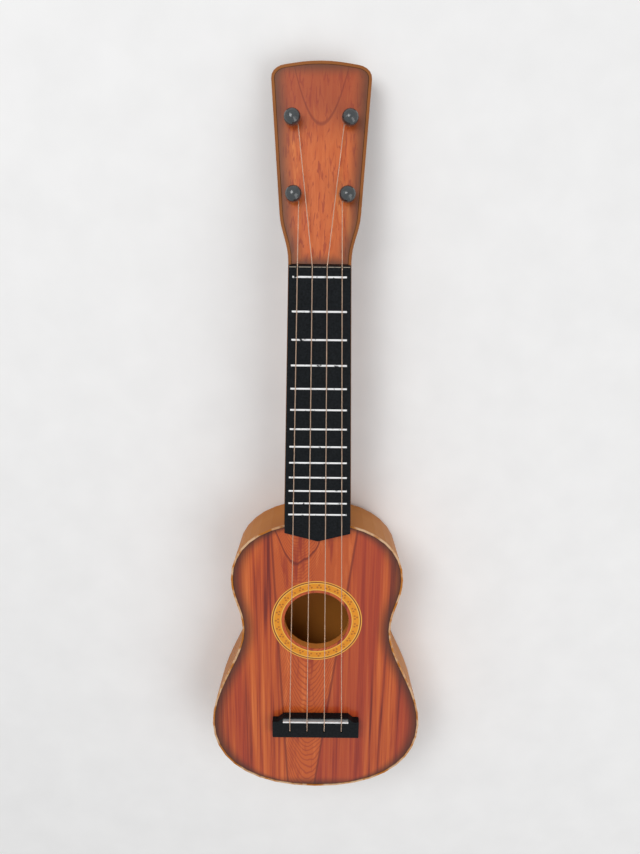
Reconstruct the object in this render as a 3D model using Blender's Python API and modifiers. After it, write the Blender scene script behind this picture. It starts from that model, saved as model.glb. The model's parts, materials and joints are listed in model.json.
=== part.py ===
"""A four-string toy ukulele of moulded plastic, lying on its back.

Metres, +Z out of the soundboard, +Y towards the headstock, +X across.
The origin lies under the middle of the whole length, on the plane that the back rests on.
"""

import math

import bmesh
import bpy
from mathutils import Matrix, Vector
from mathutils.geometry import interpolate_bezier

# Clearances: between seated pieces, and round what turns
SEAT = 0.0003
TURN = 0.0004

# Body: widths of the outline, and where they lie, measured from the tail end
BODY_LENGTH = 0.247
BODY_DEPTH = 0.050
LOWER_BOUT = 0.1688
LOWER_BOUT_AT = 0.0635
WAIST = 0.116
WAIST_AT = 0.153
UPPER_BOUT = 0.1322
UPPER_BOUT_AT = 0.198
SIDE_LEAN = 0.0025
BACK_ROUND = 0.006
SHELL_WALL = 0.0024
RIM_LIP = 0.0014

# Reach of the outline's curve handles, from the tail round to the shoulder
TAIL_REACH = 0.056
LOWER_REACH = 0.036
WAIST_TAIL_REACH = 0.026
WAIST_HEAD_REACH = 0.019
UPPER_TAIL_REACH = 0.019
UPPER_HEAD_REACH = 0.029
SHOULDER_REACH = 0.041

# Soundboard
BOARD_THICKNESS = 0.0020
BOARD_RECESS = 0.0003
HOLE_AT = 0.1612
HOLE_RADIUS = 0.0253
HOLE_EDGE_DEPTH = 0.007
HOLE_EDGE_WALL = 0.0016
RIB_HEIGHT = 0.004
RIB_WIDTH = 0.0018
RIB_LENGTH = 0.080
RIBS_AT = (0.112, 0.205)

# Body screws: three a side, from the back into the soundboard's posts
BODY_SCREWS_AT = ((0.056, 0.030), (0.048, 0.150), (0.046, 0.220))
SHELL_BOSS_RADIUS = 0.0044
SHELL_BOSS_TOP = 0.012
BOARD_POST_RADIUS = 0.0036
BODY_SCREW_BITE = 0.008
SCREW_SINK = 0.0012

# Screws
HEAD_RADIUS = 0.0027
HEAD_HEIGHT = 0.0018
SHANK_RADIUS = 0.0012
SCREW_PLAY = 0.0005

# Neck and fretboard
NUT_AT = 0.4382
NUT_WIDTH = 0.0415
FRETBOARD_HEIGHT = 0.005
FRETBOARD_WIDE_END = 0.0492
FRETBOARD_CORNER_AT = 0.240
FRETBOARD_TIP_AT = 0.2334
FRETBOARD_WALL = 0.0018
FRETBOARD_EDGE = 0.0005
NECK_EDGE = 0.0005
NECK_WALL = 0.0018
NECK_DEPTH = 0.0165
HEEL_DEPTH = 0.038
HEEL_FALL = 0.014
HEEL_BLOCK = 0.013
NECK_ROUNDNESS = 2.3
NECK_SCREW_HEIGHTS = (0.020, 0.034)
NECK_SCREW_BITE = 0.010

# Frets: a zero fret, one wide space, then spaces that shrink at a steady rate
FRETS = 13
ZERO_FRET_FROM_NUT = 0.0075
FIRST_SPACE = 0.0234
SECOND_SPACE = 0.0196
SPACE_RATE = 0.9265
FRET_RADIUS = 0.0008
FRET_MARGIN = 0.0027
NUT_HEIGHT = 0.0017
NUT_THICKNESS = 0.0028
NUT_SLOT = 0.0016

# Headstock: its stations are measured from the nut along its face
HEAD_TILT = math.radians(14)
HEAD_LENGTH = 0.132
HEAD_THICKNESS = 0.009
HEAD_FLARE_FROM = 0.033
HEAD_FLARE_WIDTH = 0.0545
HEAD_TOP_WIDTH = 0.0664
HEAD_CORNER = 0.009
HEAD_CROWN = 0.0025
HEAD_RIM = 0.0020
HEAD_LEDGE = 0.0012
HEAD_FLOOR = 0.0018
FACE_THICKNESS = 0.0018
FACE_SCREWS_AT = (0.022, 0.070, 0.117)
FACE_POST_RADIUS = 0.0032
FACE_POST_LENGTH = 0.0030

# Pegs: the lower pair, then the upper pair
PEG_PAIRS = ((0.01775, 0.045), (0.0189, 0.094))
CAP_RADIUS = 0.0056
CAP_SIDE = 0.0045
CAP_DOME = 0.0045
STEM_RADIUS = 0.0027
STEM_HEIGHT = 0.0042
SHAFT_RADIUS = 0.0026
SPIGOT_RADIUS = 0.0015
WASHER_RADIUS = 0.0048
WASHER_THICKNESS = 0.0010
KEY_HUB_RADIUS = 0.0042
KEY_HUB_LENGTH = 0.0030
KEY_WIDTH = 0.017
KEY_HEIGHT = 0.0094
KEY_THICKNESS = 0.0036
PEG_BOSS_RADIUS = 0.0052

# Bridge and saddle
BRIDGE_TAIL_AT = 0.0557
BRIDGE_EARS_AT = 0.0712
BRIDGE_BLOCK_AT = 0.0751
BRIDGE_WIDTH = 0.0702
BRIDGE_BLOCK_WIDTH = 0.0528
BRIDGE_HEIGHT = 0.0073
BRIDGE_EDGE = 0.0006
BRIDGE_SCREW_SPACING = 0.060
BRIDGE_SCREW_BITE = 0.004
SADDLE_AT = 0.072
SADDLE_LENGTH = 0.053
SADDLE_THICKNESS = 0.0013
SADDLE_PROUD = 0.0016
SADDLE_SLOT_DEPTH = 0.004
GROOVE_WIDTH = 0.0014
GROOVE_DEPTH = 0.0022

# Strings
STRINGS = 4
STRING_RADIUS = 0.00035
SADDLE_SPACING = 0.0139
NUT_SPACING = 0.0099
STRING_HOLE_AT = 0.0622
STRING_HOLE_RADIUS = 0.0011
KNOT_RADIUS = 0.0016
WOUND_TURNS = 2
POINTS_A_TURN = 24
WINDING_PITCH = 0.00122
WINDING_TOP = 0.0033

# Fineness of the round work
BEND_STEPS = 10
ROUND_STEPS = 3
TURNED_STEPS = 16
SCREW_STEPS = 10

# Colours
GOLDEN_SHELL = (0.50, 0.22, 0.06)
PRINTED_WOOD = (0.52, 0.13, 0.04)
BLACK_PLASTIC = (0.012, 0.012, 0.013)
PEG_PLASTIC = (0.030, 0.036, 0.040)
BRIGHT_FOIL = (0.80, 0.80, 0.80)
NYLON = (0.85, 0.75, 0.62)
SCREW_STEEL = (0.55, 0.55, 0.56)
WASHER_WHITE = (0.75, 0.74, 0.70)

# Places worked out from the sizes above
OVERALL_LENGTH = NUT_AT + HEAD_LENGTH * math.cos(HEAD_TILT)
BOARD_TOP = BODY_DEPTH - BOARD_RECESS
BOARD_BOTTOM = BOARD_TOP - BOARD_THICKNESS
FRETBOARD_BOTTOM = BODY_DEPTH + SEAT
FRETBOARD_TOP = FRETBOARD_BOTTOM + FRETBOARD_HEIGHT
BRIDGE_BOTTOM = BOARD_TOP + SEAT
BRIDGE_TOP = BRIDGE_BOTTOM + BRIDGE_HEIGHT
SADDLE_TOP = BRIDGE_TOP + SADDLE_PROUD
PEG_HOLE_RADIUS = SHAFT_RADIUS + TURN
WASHER_TOP = -HEAD_THICKNESS - SEAT
KEY_TOP = WASHER_TOP - WASHER_THICKNESS - SEAT
PEGS = [
    (side * across, along)
    for side, order in ((-1, PEG_PAIRS), (1, PEG_PAIRS[::-1]))
    for across, along in order
]


def clear_scene():
    for thing in list(bpy.data.objects):
        bpy.data.objects.remove(thing)


def collection(name):
    group = bpy.data.collections.new(name)
    bpy.context.scene.collection.children.link(group)
    return group


clear_scene()
PARTS = collection("toy_ukulele")
CUTTERS = collection("cutters")


def material(name, colour, roughness, metallic=0.0):
    finish = bpy.data.materials.new(name)
    finish.use_nodes = True
    shader = finish.node_tree.nodes["Principled BSDF"]
    shader.inputs["Base Color"].default_value = (*colour, 1)
    shader.inputs["Roughness"].default_value = roughness
    shader.inputs["Metallic"].default_value = metallic
    finish.diffuse_color = (*colour, 1)
    return finish


def empty(name, parent, at, turn=0.0):
    frame = bpy.data.objects.new(name, None)
    PARTS.objects.link(frame)
    frame.parent = parent
    frame.location = at
    frame.rotation_euler.x = turn
    return frame


def piece(name, mesh, parent, finish, at=(0, 0, 0)):
    made = bpy.data.objects.new(name, mesh)
    PARTS.objects.link(made)
    made.parent = parent
    made.location = at
    mesh.materials.append(finish)
    mesh.shade_smooth()
    mesh.set_sharp_from_angle(angle=math.radians(35))
    return made


def tool(name, mesh, parent, at=(0, 0, 0)):
    """A cutter, or a form that is joined to a piece."""
    made = bpy.data.objects.new(name, mesh)
    CUTTERS.objects.link(made)
    made.parent = parent
    made.location = at
    made.hide_render = True
    made.display_type = "WIRE"
    return made


def combine(target, other, operation):
    boolean = target.modifiers.new(other.name, "BOOLEAN")
    boolean.object = other
    boolean.operation = operation
    boolean.solver = "EXACT"


def bevel(target, width, segments=1):
    rounding = target.modifiers.new("edge", "BEVEL")
    rounding.width = width
    rounding.segments = segments
    rounding.limit_method = "ANGLE"
    rounding.angle_limit = math.radians(40)


def turn(target, steps=TURNED_STEPS):
    spin = target.modifiers.new("turned", "SCREW")
    spin.axis = "Z"
    spin.steps = steps
    spin.render_steps = steps
    spin.use_merge_vertices = True
    spin.merge_threshold = 1e-5


def profile_mesh(name, points, closed=False):
    """A turned piece's profile, at +X of its axis, from its top down its outer side."""
    mesh = bpy.data.meshes.new(name)
    ends = [(i, i + 1) for i in range(len(points) - 1)]
    if closed:
        ends.append((len(points) - 1, 0))
    mesh.from_pydata([(radius, 0, height) for radius, height in points], ends, [])
    return mesh


def finished_mesh(form, name):
    bmesh.ops.recalc_face_normals(form, faces=form.faces)
    mesh = bpy.data.meshes.new(name)
    form.to_mesh(mesh)
    form.free()
    return mesh


def slab_mesh(name, loop, low, high):
    """A flat outline between two heights: a filled 2D curve, extruded, then made a mesh."""
    curve = bpy.data.curves.new(name, "CURVE")
    curve.dimensions = "2D"
    curve.fill_mode = "BOTH"
    curve.extrude = (high - low) / 2
    spline = curve.splines.new("POLY")
    spline.points.add(len(loop) - 1)
    for point, (x, y) in zip(spline.points, loop):
        point.co = (x, y, 0, 1)
    spline.use_cyclic_u = True
    return curve_mesh(curve, Matrix.Translation((0, 0, (low + high) / 2)))


def curve_mesh(curve, move):
    """The welded mesh of a curve."""
    guide = bpy.data.objects.new(curve.name, curve)
    CUTTERS.objects.link(guide)
    bpy.context.view_layer.update()
    ready = guide.evaluated_get(bpy.context.evaluated_depsgraph_get())
    mesh = bpy.data.meshes.new_from_object(ready)
    mesh.transform(move)
    bpy.data.objects.remove(guide)
    form = bmesh.new()
    form.from_mesh(mesh)
    bmesh.ops.remove_doubles(form, verts=form.verts, dist=1e-6)
    bmesh.ops.recalc_face_normals(form, faces=form.faces)
    form.to_mesh(mesh)
    form.free()
    return mesh


def box_mesh(name, low, high):
    low = Vector(low)
    high = Vector(high)
    form = bmesh.new()
    bmesh.ops.create_cube(form, size=1)
    for vertex in form.verts:
        vertex.co = (low + high) / 2 + (high - low) * vertex.co
    return finished_mesh(form, name)


def rods_mesh(name, places, radius, low, high, sides=TURNED_STEPS):
    """Upright rods, one at each place."""
    form = bmesh.new()
    for x, y in places:
        middle = Matrix.Translation((x, y, (low + high) / 2))
        bmesh.ops.create_cone(
            form, cap_ends=True, segments=sides, radius1=radius, radius2=radius,
            depth=high - low, matrix=middle,
        )
    return finished_mesh(form, name)


def loft_mesh(name, sections, open_start=False):
    """Skin over closed sections of equal count; the start can stay open."""
    form = bmesh.new()
    loops = [[form.verts.new(point) for point in section] for section in sections]
    for near, far in zip(loops, loops[1:]):
        for i in range(len(near)):
            j = (i + 1) % len(near)
            form.faces.new((near[i], far[i], far[j], near[j]))
    form.faces.new(loops[-1])
    if not open_start:
        form.faces.new(loops[0])
    return finished_mesh(form, name)


def moved_in(loop, inset):
    """The closed outline, anticlockwise, with each side moved inwards."""
    moved = []
    for before, here, after in zip(loop[-1:] + loop[:-1], loop, loop[1:] + loop[:1]):
        first = (here - before).normalized()
        second = (after - here).normalized()
        inward = Vector((-first.y - second.y, first.x + second.x))
        moved.append(here + inward * inset / (1 + first.dot(second)))
    return moved


def mirrored(half):
    """A closed outline from its +X half, whose two ends may lie on the centre line."""
    other = [Vector((-point.x, point.y)) for point in reversed(half) if point.x > 1e-9]
    return half + other


def body_loop():
    """The figure-of-eight outline, anticlockwise from the tail end."""
    along = Vector((0, 1))
    across = Vector((1, 0))
    tail = Vector((0, 0))
    lower = Vector((LOWER_BOUT / 2, LOWER_BOUT_AT))
    waist = Vector((WAIST / 2, WAIST_AT))
    upper = Vector((UPPER_BOUT / 2, UPPER_BOUT_AT))
    shoulder = Vector((0, BODY_LENGTH))
    bends = (
        (tail, tail + across * TAIL_REACH, lower - along * LOWER_REACH, lower),
        (lower, lower + along * LOWER_REACH, waist - along * WAIST_TAIL_REACH, waist),
        (waist, waist + along * WAIST_HEAD_REACH, upper - along * UPPER_TAIL_REACH, upper),
        (upper, upper + along * UPPER_HEAD_REACH, shoulder + across * SHOULDER_REACH, shoulder),
    )
    half = []
    for bend in bends:
        half += [Vector(point[:2]) for point in interpolate_bezier(*bend, BEND_STEPS)[:-1]]
    return mirrored(half + [shoulder])


def body_sections(grow=0.0, above=0.0):
    """The body's rings from its rim down to its flat back, with the sides' lean and round."""
    rings = [(BODY_DEPTH, 0.0), (BACK_ROUND, SIDE_LEAN)]
    if above:
        rings.insert(0, (BODY_DEPTH + above, 0.0))
    for step in range(1, ROUND_STEPS + 1):
        angle = math.pi / 2 * step / ROUND_STEPS
        height = BACK_ROUND * (1 - math.sin(angle))
        rings.append((height, SIDE_LEAN + BACK_ROUND * (1 - math.cos(angle))))
    loop = body_loop()
    return [
        [(x, y, height) for x, y in moved_in(loop, inset - grow)] for height, inset in rings
    ]


def both_sides(places):
    return [(side * x, y) for x, y in places for side in (-1, 1)]


# Frames: the body's tail end, and the headstock's face at the nut
tail_frame = empty("tail_frame", None, (0, -OVERALL_LENGTH / 2, 0))
head_frame = empty("head_frame", tail_frame, (0, NUT_AT, BODY_DEPTH), -HEAD_TILT)

shell_finish = material("golden_shell", GOLDEN_SHELL, 0.38)
wood_finish = material("printed_wood", PRINTED_WOOD, 0.32)
black_finish = material("black_plastic", BLACK_PLASTIC, 0.45)
peg_finish = material("peg_plastic", PEG_PLASTIC, 0.25)
foil_finish = material("bright_foil", BRIGHT_FOIL, 0.25, 0.9)
nylon_finish = material("nylon", NYLON, 0.3)
steel_finish = material("screw_steel", SCREW_STEEL, 0.35, 1.0)
washer_finish = material("washer_plastic", WASHER_WHITE, 0.5)


def screw(name, parent, at, bite, finish, turned=0.0):
    """A pan-head screw: at is the outer face of its head, and bite the length under the head."""
    tip = HEAD_HEIGHT + bite
    outline = (
        (0, tip), (SHANK_RADIUS / 2, tip), (SHANK_RADIUS, tip - SHANK_RADIUS),
        (SHANK_RADIUS, HEAD_HEIGHT), (HEAD_RADIUS, HEAD_HEIGHT),
        (HEAD_RADIUS, HEAD_HEIGHT / 3), (HEAD_RADIUS * 0.8, 0), (0, 0),
    )
    made = piece(name, profile_mesh(name, outline), parent, finish, at)
    made.rotation_euler.x = turned
    turn(made, SCREW_STEPS)
    return made


def body_wall_at(height):
    """Where the inside of the shoulder wall lies on the centre line at this height."""
    lean = SIDE_LEAN * (BODY_DEPTH - height) / (BODY_DEPTH - BACK_ROUND)
    return BODY_LENGTH - lean - SHELL_WALL


def neck_screw_holes(name, radius, low, high):
    """Rods through the shoulder wall and into the heel."""
    mesh = rods_mesh(name, [(0, -height) for height in NECK_SCREW_HEIGHTS], radius, low, high)
    mesh.transform(Matrix.Rotation(math.radians(-90), 4, "X"))
    return mesh


def make_body_shell():
    mesh = loft_mesh("body_shell", body_sections(), open_start=True)
    shell = piece("body_shell", mesh, tail_frame, shell_finish)
    wall = shell.modifiers.new("wall", "SOLIDIFY")
    wall.thickness = SHELL_WALL
    wall.offset = -1
    wall.use_even_offset = True
    seat = moved_in(body_loop(), RIM_LIP)
    seat_floor = BOARD_BOTTOM - SEAT
    seat_tool = slab_mesh("board_seat", seat, seat_floor, BODY_DEPTH + HEAD_HEIGHT)
    places = both_sides(BODY_SCREWS_AT)
    bosses = rods_mesh("shell_bosses", places, SHELL_BOSS_RADIUS, SHELL_WALL / 2, SHELL_BOSS_TOP)
    sinks = rods_mesh("screw_sinks", places, HEAD_RADIUS + SCREW_PLAY, -HEAD_HEIGHT,
                      SCREW_SINK + HEAD_HEIGHT + SEAT)
    holes = rods_mesh("screw_holes", places, SHANK_RADIUS + SCREW_PLAY, -HEAD_HEIGHT,
                      SHELL_BOSS_TOP + HEAD_HEIGHT)
    wall_holes = neck_screw_holes("neck_screw_holes", SHANK_RADIUS + SCREW_PLAY,
                                  BODY_LENGTH - HEEL_BLOCK, BODY_LENGTH + HEEL_BLOCK)
    combine(shell, tool("board_seat", seat_tool, tail_frame), "DIFFERENCE")
    combine(shell, tool("shell_bosses", bosses, tail_frame), "UNION")
    combine(shell, tool("screw_sinks", sinks, tail_frame), "DIFFERENCE")
    combine(shell, tool("screw_holes", holes, tail_frame), "DIFFERENCE")
    combine(shell, tool("neck_screw_holes", wall_holes, tail_frame), "DIFFERENCE")


def make_soundboard():
    loop = moved_in(body_loop(), RIM_LIP + SEAT)
    board = piece("soundboard", slab_mesh("soundboard", loop, BOARD_BOTTOM, BOARD_TOP),
                  tail_frame, wood_finish)
    hole_place = [(0, HOLE_AT)]
    edge_low = BOARD_TOP - HOLE_EDGE_DEPTH
    edge = rods_mesh("hole_edge", hole_place, HOLE_RADIUS + HOLE_EDGE_WALL, edge_low,
                     BOARD_TOP - BOARD_THICKNESS / 2, 40)
    hole = rods_mesh("sound_hole", hole_place, HOLE_RADIUS, edge_low - BOARD_THICKNESS,
                     BOARD_TOP + BOARD_THICKNESS, 40)
    places = both_sides(BODY_SCREWS_AT)
    post_low = SHELL_BOSS_TOP + SEAT
    posts = rods_mesh("board_posts", places, BOARD_POST_RADIUS, post_low,
                      BOARD_TOP - BOARD_THICKNESS / 2, 12)
    pilots = rods_mesh("post_pilots", places, SHANK_RADIUS + SEAT, post_low - BOARD_THICKNESS,
                       post_low + BODY_SCREW_BITE + SEAT, 12)
    strings_at = [(string_x(i, SADDLE_SPACING), STRING_HOLE_AT) for i in range(STRINGS)]
    string_holes = rods_mesh("board_string_holes", strings_at, STRING_HOLE_RADIUS,
                             BOARD_BOTTOM - SEAT, BOARD_TOP + SEAT, 10)
    screw_holes = rods_mesh("board_screw_holes", bridge_screw_places(),
                            SHANK_RADIUS + SCREW_PLAY, BOARD_BOTTOM - SEAT, BOARD_TOP + SEAT, 12)
    combine(board, tool("hole_edge", edge, tail_frame), "UNION")
    for i, along in enumerate(RIBS_AT, 1):
        rib = box_mesh(
            f"board_rib_{i}",
            (-RIB_LENGTH / 2, along - RIB_WIDTH / 2, BOARD_BOTTOM - RIB_HEIGHT),
            (RIB_LENGTH / 2, along + RIB_WIDTH / 2, BOARD_TOP - BOARD_THICKNESS / 2),
        )
        combine(board, tool(f"board_rib_{i}", rib, tail_frame), "UNION")
    combine(board, tool("board_posts", posts, tail_frame), "UNION")
    combine(board, tool("sound_hole", hole, tail_frame), "DIFFERENCE")
    combine(board, tool("post_pilots", pilots, tail_frame), "DIFFERENCE")
    combine(board, tool("board_string_holes", string_holes, tail_frame), "DIFFERENCE")
    combine(board, tool("board_screw_holes", screw_holes, tail_frame), "DIFFERENCE")


def make_body_screws():
    bite = SHELL_BOSS_TOP - SCREW_SINK - HEAD_HEIGHT + BODY_SCREW_BITE
    for i, (x, y) in enumerate(both_sides(BODY_SCREWS_AT), 1):
        screw(f"body_screw_{i}", tail_frame, (x, y, SCREW_SINK), bite, steel_finish)


def fretboard_half_width(along):
    share = (NUT_AT - along) / (NUT_AT - FRETBOARD_CORNER_AT)
    return (NUT_WIDTH + (FRETBOARD_WIDE_END - NUT_WIDTH) * share) / 2


def fretboard_loop():
    return mirrored([
        Vector((0, FRETBOARD_TIP_AT)),
        Vector((FRETBOARD_WIDE_END / 2, FRETBOARD_CORNER_AT)),
        Vector((NUT_WIDTH / 2, NUT_AT)),
    ])


def fret_places():
    """Each fret's place from the tail end, the zero fret first."""
    place = NUT_AT - ZERO_FRET_FROM_NUT
    space = SECOND_SPACE
    places = [place]
    place -= FIRST_SPACE
    for _ in range(1, FRETS):
        places.append(place)
        place -= space
        space *= SPACE_RATE
    return places


def frets_mesh():
    """Half-round ridges across the fretboard, sunk to their middles."""
    form = bmesh.new()
    for along in fret_places():
        lying = Matrix.Translation((0, along, FRETBOARD_TOP)) @ Matrix.Rotation(math.pi / 2, 4, "Y")
        bmesh.ops.create_cone(
            form, cap_ends=True, segments=10, radius1=FRET_RADIUS, radius2=FRET_RADIUS,
            depth=2 * (fretboard_half_width(along) - FRET_MARGIN), matrix=lying,
        )
    return finished_mesh(form, "fret_ridges")


def string_x(index, spacing):
    return (index - (STRINGS - 1) / 2) * spacing


def string_height(along):
    """The height of a string's middle between saddle and nut."""
    lift = SEAT + STRING_RADIUS
    at_saddle = SADDLE_TOP + lift
    at_fret = FRETBOARD_TOP + FRET_RADIUS + lift
    share = (along - SADDLE_AT) / (NUT_AT - ZERO_FRET_FROM_NUT - SADDLE_AT)
    return at_saddle + (at_fret - at_saddle) * share


def make_fretboard():
    mesh = slab_mesh("fretboard", fretboard_loop(), FRETBOARD_BOTTOM, FRETBOARD_TOP)
    board = piece("fretboard", mesh, tail_frame, black_finish)
    bevel(board, FRETBOARD_EDGE)
    hollow = slab_mesh("fretboard_hollow", moved_in(fretboard_loop(), FRETBOARD_WALL),
                       FRETBOARD_BOTTOM - FRETBOARD_WALL, FRETBOARD_TOP - FRETBOARD_WALL)
    ridges = tool("fret_ridges", frets_mesh(), tail_frame)
    ridges.data.materials.append(foil_finish)
    half = NUT_WIDTH / 2 - FRETBOARD_EDGE
    nut = box_mesh("nut_ridge", (-half, NUT_AT - FRETBOARD_EDGE - NUT_THICKNESS,
                                 FRETBOARD_TOP - FRETBOARD_WALL / 2),
                   (half, NUT_AT - FRETBOARD_EDGE, FRETBOARD_TOP + NUT_HEIGHT))
    slot_floor = string_height(NUT_AT) - STRING_RADIUS - TURN
    slots = [
        box_mesh(f"nut_slot_{i + 1}",
                 (string_x(i, NUT_SPACING) - NUT_SLOT / 2, NUT_AT - 2 * NUT_THICKNESS, slot_floor),
                 (string_x(i, NUT_SPACING) + NUT_SLOT / 2, NUT_AT + NUT_THICKNESS,
                  FRETBOARD_TOP + 2 * NUT_HEIGHT))
        for i in range(STRINGS)
    ]
    combine(board, tool("fretboard_hollow", hollow, tail_frame), "DIFFERENCE")
    combine(board, ridges, "UNION")
    board.modifiers[-1].material_mode = "TRANSFER"
    combine(board, tool("nut_ridge", nut, tail_frame), "UNION")
    for slot in slots:
        combine(board, tool(slot.name, slot, tail_frame), "DIFFERENCE")


def neck_section(half_width, depth, place):
    """A U-shaped section under its top line, set in place by a matrix."""
    steps = 12
    section = []
    for step in range(steps + 1):
        angle = math.pi * step / steps
        across = math.copysign(abs(math.cos(angle)) ** (2 / NECK_ROUNDNESS), math.cos(angle))
        down = abs(math.sin(angle)) ** (2 / NECK_ROUNDNESS)
        section.append(place @ Vector((half_width * across, 0, -depth * down)))
    return section


def neck_sections(wall=0.0, start=-HEEL_BLOCK, lift=0.0):
    """The neck from its heel to under the headstock; wall draws each section in."""
    sections = []
    heel_shares = (-1, 0, 0.25, 0.5, 0.75, 1, 1.3, 1.7, 2.2, 3, 7, 13)
    stations = [HEEL_BLOCK * share for share in heel_shares if HEEL_BLOCK * share >= start]
    for station in stations:
        along = BODY_LENGTH + station
        heel = math.exp(-((max(station, 0) / HEEL_FALL) ** 2))
        depth = NECK_DEPTH + 0.004 * (NUT_AT - along) / NUT_AT
        depth += (HEEL_DEPTH - NECK_DEPTH) * heel
        half = fretboard_half_width(along) + NECK_EDGE
        place = Matrix.Translation((0, along, BODY_DEPTH + lift))
        sections.append(neck_section(half - wall, depth - wall + lift, place))
    head = Matrix.Translation((0, NUT_AT, BODY_DEPTH)) @ Matrix.Rotation(-HEAD_TILT, 4, "X")
    half = NUT_WIDTH / 2
    middle = (Matrix.Translation((0, NUT_AT, BODY_DEPTH))
              @ Matrix.Rotation(-HEAD_TILT / 2, 4, "X") @ Matrix.Translation((0, 0, lift)))
    sections.append(neck_section(half + NECK_EDGE - wall, NECK_DEPTH - 0.001 - wall + lift, middle))
    for along, depth in ((0.011, 0.0125), (0.022, 0.0100), (0.034, 0.0070)):
        place = head @ Matrix.Translation((0, along, lift - NECK_EDGE))
        sections.append(neck_section(half - NECK_EDGE - wall, depth - wall + lift, place))
    return sections


def head_loop(inset=0.0, foot=0.0):
    """The headstock's outline on its face, its foot at the nut, drawn in along its sides."""
    start = Vector((NUT_WIDTH / 2 + NECK_EDGE, foot - inset))
    flare = Vector((HEAD_FLARE_WIDTH / 2, HEAD_FLARE_FROM))
    corner_low = Vector((HEAD_TOP_WIDTH / 2, HEAD_LENGTH - HEAD_CROWN - HEAD_CORNER))
    corner_top = Vector((HEAD_TOP_WIDTH / 2 - HEAD_CORNER, HEAD_LENGTH - HEAD_CROWN))
    lean = (corner_low - flare).normalized()
    spring = Vector((start.x, 0.0015))
    bends = (
        (spring, Vector((start.x, 0.014)), flare - lean * 0.012, flare),
        (corner_low, corner_low + lean * HEAD_CORNER * 0.55,
         corner_top + Vector((HEAD_CORNER * 0.55, -HEAD_CROWN / 4)), corner_top),
        (corner_top, corner_top + Vector((-0.009, HEAD_CROWN * 0.6)),
         Vector((0.009, HEAD_LENGTH)), Vector((0, HEAD_LENGTH))),
    )
    half = [start]
    for bend, steps in zip(bends, (9, 6, 5)):
        half += [Vector(point[:2]) for point in interpolate_bezier(*bend, steps)]
    tidy = [half[0]]
    for point in half[1:]:
        if (point - tidy[-1]).length > 1e-6:
            tidy.append(point)
    return moved_in(mirrored(tidy), inset)


def make_neck_shell():
    neck = piece("neck_shell", loft_mesh("neck_shell", neck_sections()), tail_frame, shell_finish)
    tray = tool("head_tray", slab_mesh("head_tray", head_loop(), -HEAD_THICKNESS, 0), head_frame)
    bevel(tray, 0.0012, 2)
    body = loft_mesh("body_space", body_sections(SEAT, HEAD_THICKNESS))
    channel_lift = 0.002
    channel = loft_mesh("neck_channel", neck_sections(NECK_WALL, HEEL_BLOCK, channel_lift)[:-1])
    seat = slab_mesh("face_seat", head_loop(HEAD_RIM, -0.001), -FACE_THICKNESS - SEAT, 0.003)
    hollow_floor = HEAD_FLOOR - HEAD_THICKNESS
    hollow = slab_mesh("head_hollow", head_loop(HEAD_RIM + HEAD_LEDGE, 0.004), hollow_floor, 0.003)
    boss_top = -FACE_THICKNESS - SEAT
    boss_low = hollow_floor - HEAD_FLOOR / 2
    peg_bosses = rods_mesh("peg_bosses", PEGS, PEG_BOSS_RADIUS, boss_low, boss_top)
    peg_holes = rods_mesh("tray_peg_holes", PEGS, PEG_HOLE_RADIUS, -2 * HEAD_THICKNESS, 0.003)
    screws = [(0, along) for along in FACE_SCREWS_AT]
    screw_top = -FACE_THICKNESS - FACE_POST_LENGTH - SEAT
    bosses = rods_mesh("face_bosses", screws, HEAD_RADIUS + NECK_WALL, boss_low, screw_top, 12)
    sinks = rods_mesh("face_screw_sinks", screws, HEAD_RADIUS + SCREW_PLAY,
                      -2 * HEAD_THICKNESS, -HEAD_THICKNESS + HEAD_HEIGHT + 2 * SEAT, 12)
    holes = rods_mesh("face_screw_holes", screws, SHANK_RADIUS + SCREW_PLAY,
                      -2 * HEAD_THICKNESS, screw_top + SEAT, 12)
    rib_half = NECK_WALL / 2
    rib_rows = (PEG_PAIRS[0][1], PEG_PAIRS[1][1])
    pilots = neck_screw_holes("heel_pilots", SHANK_RADIUS + SEAT,
                              BODY_LENGTH - HEEL_BLOCK, BODY_LENGTH + NECK_SCREW_BITE + SEAT)
    combine(neck, tray, "UNION")
    combine(neck, tool("body_space", body, tail_frame), "DIFFERENCE")
    combine(neck, tool("neck_channel", channel, tail_frame), "DIFFERENCE")
    combine(neck, tool("head_hollow", hollow, head_frame), "DIFFERENCE")
    combine(neck, tool("face_seat", seat, head_frame), "DIFFERENCE")
    for i, (along, (across, _)) in enumerate(zip(rib_rows, PEG_PAIRS), 1):
        rib = box_mesh(f"head_rib_{i}", (-across, along - rib_half, boss_low),
                       (across, along + rib_half, boss_top))
        combine(neck, tool(f"head_rib_{i}", rib, head_frame), "UNION")
    combine(neck, tool("peg_bosses", peg_bosses, head_frame), "UNION")
    combine(neck, tool("face_bosses", bosses, head_frame), "UNION")
    combine(neck, tool("tray_peg_holes", peg_holes, head_frame), "DIFFERENCE")
    combine(neck, tool("face_screw_sinks", sinks, head_frame), "DIFFERENCE")
    combine(neck, tool("face_screw_holes", holes, head_frame), "DIFFERENCE")
    combine(neck, tool("heel_pilots", pilots, tail_frame), "DIFFERENCE")


def make_neck_screws():
    for i, height in enumerate(NECK_SCREW_HEIGHTS, 1):
        under_head = body_wall_at(height) - 2 * SEAT
        at = (0, under_head - HEAD_HEIGHT, height)
        bite = BODY_LENGTH + NECK_SCREW_BITE - under_head
        screw(f"neck_screw_{i}", tail_frame, at, bite, steel_finish, math.radians(-90))


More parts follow.
